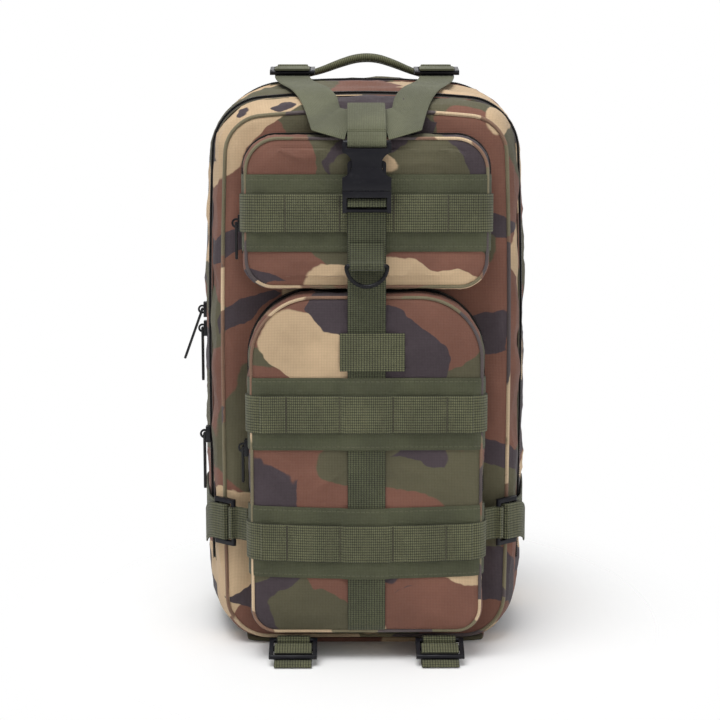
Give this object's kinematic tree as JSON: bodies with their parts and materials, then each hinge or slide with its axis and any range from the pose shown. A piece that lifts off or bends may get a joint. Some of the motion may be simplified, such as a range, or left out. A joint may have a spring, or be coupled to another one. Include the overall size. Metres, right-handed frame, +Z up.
{
  "type": "hunting backpack",
  "caption": "Clamshell day pack in woodland cloth with two front pockets, loop webbing, a Y strap with a side-release buckle and padded shoulder straps.",
  "frame": {"origin": "on the ground, midway across the pack, 30 mm in front of the main zip", "axes": "+Z up; -Y the face with the pockets; +Y the side worn against the back; +X to the right seen from the pocket side"},
  "size_m": [0.2779, 0.2596, 0.4416],
  "materials": {
    "camouflage_cloth": "woven polyester, woodland pattern in brown, dark brown, olive and tan",
    "olive_webbing": "olive polypropylene webbing",
    "band_cloth": "plain olive tape",
    "lining_cloth": "coated lining",
    "black_mesh": "spacer mesh over foam",
    "black_webbing": "black webbing",
    "zip_coil": "nylon coil on woven tape",
    "black_plastic": "fine-textured moulded plastic",
    "pull_plastic": "moulded over a cord",
    "slider_metal": "black paint, worn at the edges",
    "ring_metal": "black paint"
  },
  "bodies": {
    "pack": {"base_panel": "camouflage_cloth", "rear_shell": "camouflage_cloth", "back_pads": "black_mesh", "frame_sheet": "black_plastic", "inner_sleeve": "lining_cloth", "main_zip_rear": "zip_coil", "top_anchors": "olive_webbing", "side_loops": "olive_webbing", "bottom_straps": "olive_webbing", "bottom_locks": "black_plastic", "shoulder_pad_left": "black_mesh", "shoulder_pad_right": "black_mesh", "shoulder_web_left": "black_webbing", "shoulder_web_right": "black_webbing", "shoulder_lock_left": "black_plastic", "shoulder_lock_right": "black_plastic"},
    "handle": {"haul_handle": "olive_webbing"},
    "y_strap": {"top_strap": "olive_webbing", "top_locks": "black_plastic", "buckle_socket": "black_plastic"},
    "main_lid": {"gusset": "camouflage_cloth", "divider_panel": "lining_cloth", "lid_mesh": "black_mesh", "organiser": "lining_cloth", "main_zip_front": "zip_coil", "front_zip_rear": "zip_coil"},
    "front_lid": {"front_shell": "camouflage_cloth", "front_zip_front": "zip_coil", "upper_pocket": "camouflage_cloth", "lower_pocket": "camouflage_cloth", "pocket_zips": "zip_coil", "pocket_bands": "band_cloth", "pocket_loops": "olive_webbing", "centre_strap": "olive_webbing", "strap_patch": "olive_webbing", "side_tabs": "olive_webbing", "side_locks": "black_plastic", "buckle_plug": "black_plastic"},
    "ring": {"d_ring": "ring_metal"},
    "side_strap_left": {"side_strap_left": "olive_webbing"},
    "side_strap_right": {"side_strap_right": "olive_webbing"},
    "main_slider_upper": {"main_slider_upper": "slider_metal"},
    "main_pull_upper": {"main_pull_upper": "pull_plastic"},
    "main_slider_lower": {"main_slider_lower": "slider_metal"},
    "main_pull_lower": {"main_pull_lower": "pull_plastic"},
    "front_slider": {"front_slider": "slider_metal"},
    "front_pull": {"front_pull": "pull_plastic"},
    "upper_slider": {"upper_slider": "slider_metal"},
    "upper_pull": {"upper_pull": "pull_plastic"},
    "lower_slider": {"lower_slider": "slider_metal"},
    "lower_pull": {"lower_pull": "pull_plastic"},
    "sternum_left": {"sternum_left": "black_webbing", "sternum_socket": "black_plastic"},
    "sternum_right": {"sternum_right": "black_webbing", "sternum_plug": "black_plastic"},
    "belt_left": {"belt_left": "black_webbing", "belt_socket": "black_plastic"},
    "belt_right": {"belt_right": "black_webbing", "belt_plug": "black_plastic"}
  },
  "joints": [
    {"name": "main_lid_tilt", "type": "hinge", "parent": "pack", "child": "main_lid", "pos_m": [0, -0.104, 0.006], "axis": [1, 0, 0], "range_deg": [0, 20]},
    {"name": "front_lid_tilt", "type": "hinge", "parent": "main_lid", "child": "front_lid", "pos_m": [0, -0.104, 0.006], "axis": [1, 0, 0], "range_deg": [0, 20]},
    {"name": "y_strap_lift", "type": "hinge", "parent": "pack", "child": "y_strap", "pos_m": [0, 0.04431, 0.42977], "axis": [-1, 0, 0], "range_deg": [0, 150]},
    {"name": "side_strap_swing_left", "type": "hinge", "parent": "pack", "child": "side_strap_left", "pos_m": [-0.1161, 0.08, 0.096], "axis": [0, 0, -1], "range_deg": [0, 80]},
    {"name": "side_strap_swing_right", "type": "hinge", "parent": "pack", "child": "side_strap_right", "pos_m": [0.1161, 0.08, 0.096], "axis": [0, 0, 1], "range_deg": [0, 80]},
    {"name": "handle_tilt", "type": "hinge", "parent": "pack", "child": "handle", "pos_m": [0, 0.06631, 0.426], "axis": [1, 0, 0], "range_deg": [-35, 35]},
    {"name": "ring_swing", "type": "hinge", "parent": "front_lid", "child": "ring", "pos_m": [0, -0.1196, 0.288], "axis": [-1, 0, 0], "range_deg": [0, 110]},
    {"name": "main_slider_upper_run", "type": "slide", "parent": "pack", "child": "main_slider_upper", "axis": [0, 0, 1], "range_m": [0, 0.07]},
    {"name": "main_slider_lower_run", "type": "slide", "parent": "pack", "child": "main_slider_lower", "axis": [0, 0, 1], "range_m": [-0.095, 0]},
    {"name": "front_slider_run", "type": "slide", "parent": "main_lid", "child": "front_slider", "axis": [0, 0, 1], "range_m": [-0.03, 0.08]},
    {"name": "upper_slider_run", "type": "slide", "parent": "front_lid", "child": "upper_slider", "axis": [0, 0, 1], "range_m": [-0.012, 0.028]},
    {"name": "lower_slider_run", "type": "slide", "parent": "front_lid", "child": "lower_slider", "axis": [0, 0, 1], "range_m": [-0.018, 0.055]},
    {"name": "main_pull_upper_swing", "type": "hinge", "parent": "main_slider_upper", "child": "main_pull_upper", "pos_m": [-0.1283, 0.03, 0.242], "axis": [0, 1, 0], "range_deg": [0, 110]},
    {"name": "main_pull_lower_swing", "type": "hinge", "parent": "main_slider_lower", "child": "main_pull_lower", "pos_m": [-0.1283, 0.03, 0.227], "axis": [0, 1, 0], "range_deg": [0, 110]},
    {"name": "front_pull_swing", "type": "hinge", "parent": "front_slider", "child": "front_pull", "pos_m": [-0.1215, -0.04, 0.155], "axis": [0, 1, 0], "range_deg": [0, 120]},
    {"name": "upper_pull_swing", "type": "hinge", "parent": "upper_slider", "child": "upper_pull", "pos_m": [-0.0928, -0.084, 0.316], "axis": [0, 1, 0], "range_deg": [0, 120]},
    {"name": "lower_pull_swing", "type": "hinge", "parent": "lower_slider", "child": "lower_pull", "pos_m": [-0.0898, -0.084, 0.153], "axis": [0, 1, 0], "range_deg": [0, 120]},
    {"name": "sternum_left_run", "type": "slide", "parent": "pack", "child": "sternum_left", "axis": [0.1961, 0, -0.9806], "range_m": [-0.03, 0.03]},
    {"name": "sternum_right_run", "type": "slide", "parent": "pack", "child": "sternum_right", "axis": [-0.1961, 0, -0.9806], "range_m": [-0.03, 0.03]},
    {"name": "belt_left_swing", "type": "hinge", "parent": "pack", "child": "belt_left", "pos_m": [0.106, 0.0858, 0.034], "axis": [0, 0, -1], "range_deg": [0, 120]},
    {"name": "belt_right_swing", "type": "hinge", "parent": "pack", "child": "belt_right", "pos_m": [-0.106, 0.0858, 0.034], "axis": [0, 0, 1], "range_deg": [0, 120]}
  ],
  "couplings": [
    {"joint": "front_lid_tilt", "follows": "main_lid_tilt", "ratio": 1},
    {"joint": "y_strap_lift", "follows": "main_lid_tilt", "ratio": 7.5},
    {"joint": "side_strap_swing_left", "follows": "main_lid_tilt", "ratio": 4},
    {"joint": "side_strap_swing_right", "follows": "main_lid_tilt", "ratio": 4},
    {"joint": "main_pull_lower_swing", "follows": "main_pull_upper_swing", "ratio": 1}
  ]
}
